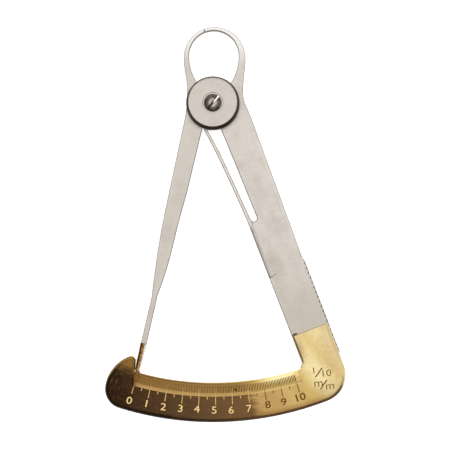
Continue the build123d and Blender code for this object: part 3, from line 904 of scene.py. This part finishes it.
def addNumbers(strokes, halos, look, shape):
    # 0 to 10 along the arc, each over a bolder copy set off to the lower right: a painted shadow where the
    # field is dark, a painted highlight where it is bright
    right, up = look["haloShift"]
    for number, (aside, higher) in enumerate(look["nudges"]):
        angle = number * shape["swing"] / 10 - shape["zeroAngle"]
        x = look["radius"] * math.sin(math.radians(angle)) + aside
        y = -look["radius"] * math.cos(math.radians(angle)) + higher
        bold = look["bold"] if number >= look["boldFrom"] else 0.0
        place = (x, y, shape["top"] + look["lift"])
        haloPlace = (x + right, y + up, shape["top"] + look["haloLift"])
        addText(strokes, str(number), look, place, look["height"], angle, bold, look["bevel"])
        addText(halos, str(number), look, haloPlace, look["height"], angle, look["haloBold"])


def addUnit(strokes, halos, look, shape):
    # a tenth of a millimetre, in slanting signs beside the scale, each over a bolder copy set off to the
    # left as a painted highlight
    right, up = look["unitShift"]
    for index, (text, (x, y), height, turn) in enumerate(look["unit"]):
        level = shape["top"] + look["unitStep"] * index
        place = (x, y, level + look["unitLift"])
        haloPlace = (x + right, y + up, level + look["unitHaloLift"])
        addText(strokes, text, look, place, height, turn, look["unitBold"])
        addText(halos, text, look, haloPlace, height, turn, look["unitHaloBold"])


def makeMarkBrass(name, stops, look):
    material, tree, shader = newMaterial(name)
    x, y, z = millimetres(tree)
    angle = aroundPivot(x, y)[1]
    grain = noise(combine(x, y, z), look["grainScale"])
    colour = ramp(plus(angle, times(minus(grain, 0.5), look["grainShift"])), stops)
    setMetal(shader, colour, look["roughness"])
    bumpFrom(shader, grain, look["grainDepth"])
    return material


def makeFigures(look, shape):
    strokes = bmesh.new()
    halos = bmesh.new()
    addNumbers(strokes, halos, look, shape)
    addUnit(strokes, halos, look, shape)
    figures = meshObject("figures", strokes, makeMarkBrass("markBrass", look["strokeLightAndShade"], look))
    shade = meshObject("figureShade", halos, makeMarkBrass("markShade", look["halo"], look))
    return figures, shade


for piece in makeFigures(figureLook, plateLook["shape"]):
    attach(piece, "scale_half")
print("stage: scale numbered")


# Leaf spring: the solid's own strip, cut across

leafLook = {
    "colours": {"steel": (206, 199, 192), "dull": (176, 168, 161), "edge": (88, 83, 79)},
    "roughness": 0.33,
    "grain": (2.5, 0.16),
    "grainDepth": 0.006 * mm,
    "lean": 21.2,
    "middle": -2.11,
    "seat": 31.0,
    "seatSide": -0.1,
    "edgeRound": 0.13 * mm,
    "cuts": 36,
    "free": (5.0, 31.0),
    "bends": (7.0, 37.0),  # where a bend in the brazed seat would start, so that the strip clears the pointer arm
    "bendHeight": 1.0,
    "onSeat": [("down", 31.0, 33.0), ("pastMiddle", -0.05, 0.05)],
    # streaks; painted shade on the strip's rims off the seat and on the left half of its brazed end
    "patches": {
        "streaked": ("dull", 1.0, ("grain", 0.4, 0.75)),
        "rounded": ("edge", 1.0, ("flat", 0.95, 0.75), ("offSeat",)),
        "shaded": ("edge", 0.7, ("down", 31.0, 33.0), ("pastMiddle", 0.75, -0.5)),
    },
    "weldDistance": 1e-7,
    "sameHeight": 1e-6,
    "sortWay": (1.0, 0.37, 0.113),  # slanting, so that no two vertices come level
}


def upperRims(mesh, look, down, out):
    # the edges of the strip's top, but not the one on the seat
    top = max(vertex.co.z for vertex in mesh.verts)
    rims = []
    for edge in mesh.edges:
        onTop = all(abs(vertex.co.z - top) < look["sameHeight"] for vertex in edge.verts)
        onRim = len({round(face.normal.z, 2) for face in edge.link_faces}) > 1
        centre = (edge.verts[0].co + edge.verts[1].co) / 2 / mm
        onSeat = centre.dot(down) > look["seat"] and centre.dot(out) > look["middle"] + look["seatSide"]
        if onTop and onRim and not onSeat:
            rims.append(edge)
    return rims


def cutStrip(look, down, out):
    # the strip with broken edges and cross cuts
    mesh = bmesh.new()
    mesh.from_mesh(nodes["leaf_spring"].data)
    bmesh.ops.remove_doubles(mesh, verts=mesh.verts, dist=look["weldDistance"])
    rims = upperRims(mesh, look, down, out)
    bmesh.ops.bevel(mesh, geom=rims, offset=look["edgeRound"], segments=1, affect="EDGES")
    first, last = look["free"]
    for index in range(look["cuts"]):
        distance = first + index * (last - first) / (look["cuts"] - 1)
        everything = mesh.verts[:] + mesh.edges[:] + mesh.faces[:]
        bmesh.ops.bisect_plane(mesh, geom=everything, plane_co=down * distance * mm, plane_no=down)
    # cutting leaves vertices and faces in any order, and every run has to give the same mesh
    way = Vector(look["sortWay"])
    mesh.verts.sort(key=lambda vertex: vertex.co.dot(way))
    mesh.faces.sort(key=lambda face: face.calc_center_median().dot(way))
    return mesh


def makeLeafSteel(name, look):
    material, tree, shader = newMaterial(name)
    x, y, z = millimetres(tree)
    down, out = alongArm(x, y, look["lean"], 1)
    at = {"down": down, "pastMiddle": minus(out, look["middle"]), "flat": steepness(tree)}
    at["grain"] = streaks(down, out, z, *look["grain"])
    at["offSeat"] = flipped(bounded(at, look["onSeat"]))
    colour = paintOver(linear(look["colours"]["steel"]), at, look, look["patches"])
    setMetal(shader, colour, look["roughness"])
    bumpFrom(shader, at["grain"], look["grainDepth"])
    return material


def makeLeaf(look):
    turn = math.radians(look["lean"])
    down = Vector((math.sin(turn), -math.cos(turn), 0))
    out = Vector((math.cos(turn), math.sin(turn), 0))
    made = meshObject("leafStrip", cutStrip(look, down, out), makeLeafSteel("leafSteel", look))
    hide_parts("leaf_spring")
    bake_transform(made)


makeLeaf(leafLook)


# Floor, light and camera

stageLook = {
    "floorColour": (0.94, 0.94, 0.94),
    "floorShade": 0.99,
    "floorGrain": 0.8,
    "floorRoughness": 0.9,
    "floorGlow": 0.66,
    "floorReach": 1.5,
    "floorHeight": -0.02 * mm,
    "skyColour": (1.0, 0.995, 0.985),
    "skyFrom": (0.25, 0.75),
    "skySide": 0.12,
    "skyTop": 0.35,
    "lights": [
        ("overhead", (-0.05, 0.0, 0.8), (1.2, 1.3), 1.0),
        ("farStrip", (-0.1, 0.75, 0.4), (1.4, 0.6), 1.0),
        ("leftFill", (-0.7, 0.35, 0.4), (0.5, 0.3), 0.5),
        ("rightStrip", (0.7, 0.05, 0.42), (0.9, 0.65), 0.85),
    ],  # name, place, size, radiance
    "lightAim": (0.0, -0.03, 0.0),
    "viewMiddle": (3.0, -30.05),  # in millimetres, as are the next four
    "viewPlane": 1.8,
    "viewDistance": 270.0,
    "viewWidth": 111.7,
    "sensor": 36.0,
    "clipStart": 0.01,
}


def makeFloor(look):
    mesh = bmesh.new()
    bmesh.ops.create_grid(mesh, x_segments=1, y_segments=1, size=look["floorReach"])
    for vertex in mesh.verts:
        vertex.co.z = look["floorHeight"]
    material, tree, shader = newMaterial("floorPaper")
    grain = noise(combine(*millimetres(tree)), look["floorGrain"])
    shaded = tuple(c * look["floorShade"] for c in look["floorColour"])
    put(shader.inputs["Base Color"], mixed(grain, look["floorColour"], shaded))
    put(shader.inputs["Roughness"], look["floorRoughness"])
    put(shader.inputs["Emission Color"], (1.0, 1.0, 1.0))
    put(shader.inputs["Emission Strength"], look["floorGlow"])
    meshObject("floor", mesh, material)


def makeLight(name, place, size, radiance, aim):
    data = bpy.data.lights.new(name, "AREA")
    data.shape = "RECTANGLE"
    data.size, data.size_y = size
    data.energy = radiance * math.pi * size[0] * size[1]
    light = bpy.data.objects.new(name, data)
    light.location = place
    light.rotation_euler = (Vector(aim) - Vector(place)).to_track_quat("-Z", "Y").to_euler()
    bpy.context.scene.collection.objects.link(light)


def makeWorld(look):
    # a studio that is dark at eye level and lighter overhead
    world = bpy.data.worlds.new("studio")
    world.use_nodes = True
    tree = world.node_tree
    background = next(node for node in tree.nodes if node.type == "BACKGROUND")
    coordinates = tree.nodes.new("ShaderNodeTexCoord")
    split = tree.nodes.new("ShaderNodeSeparateXYZ")
    put(split.inputs[0], coordinates.outputs["Generated"])
    strength = ease(split.outputs["Z"], *look["skyFrom"], look["skySide"], look["skyTop"])
    put(background.inputs["Strength"], strength)
    put(background.inputs["Color"], look["skyColour"])
    bpy.context.scene.world = world


def makeCamera(look):
    # looks straight down on the gauge
    data = bpy.data.cameras.new("camera")
    data.sensor_width = look["sensor"]
    data.lens = look["sensor"] * look["viewDistance"] / look["viewWidth"]
    data.clip_start = look["clipStart"]
    camera = bpy.data.objects.new("camera", data)
    camera.location = Vector((*look["viewMiddle"], look["viewPlane"] + look["viewDistance"])) * mm
    camera.rotation_euler = (0, 0, 0)
    bpy.context.scene.collection.objects.link(camera)
    bpy.context.scene.camera = camera
    bpy.context.scene.view_settings.view_transform = "Standard"


makeFloor(stageLook)
makeWorld(stageLook)
for lightName, place, extent, radiance in stageLook["lights"]:
    makeLight(lightName, place, extent, radiance, stageLook["lightAim"])
makeCamera(stageLook)
print("stage: lit")
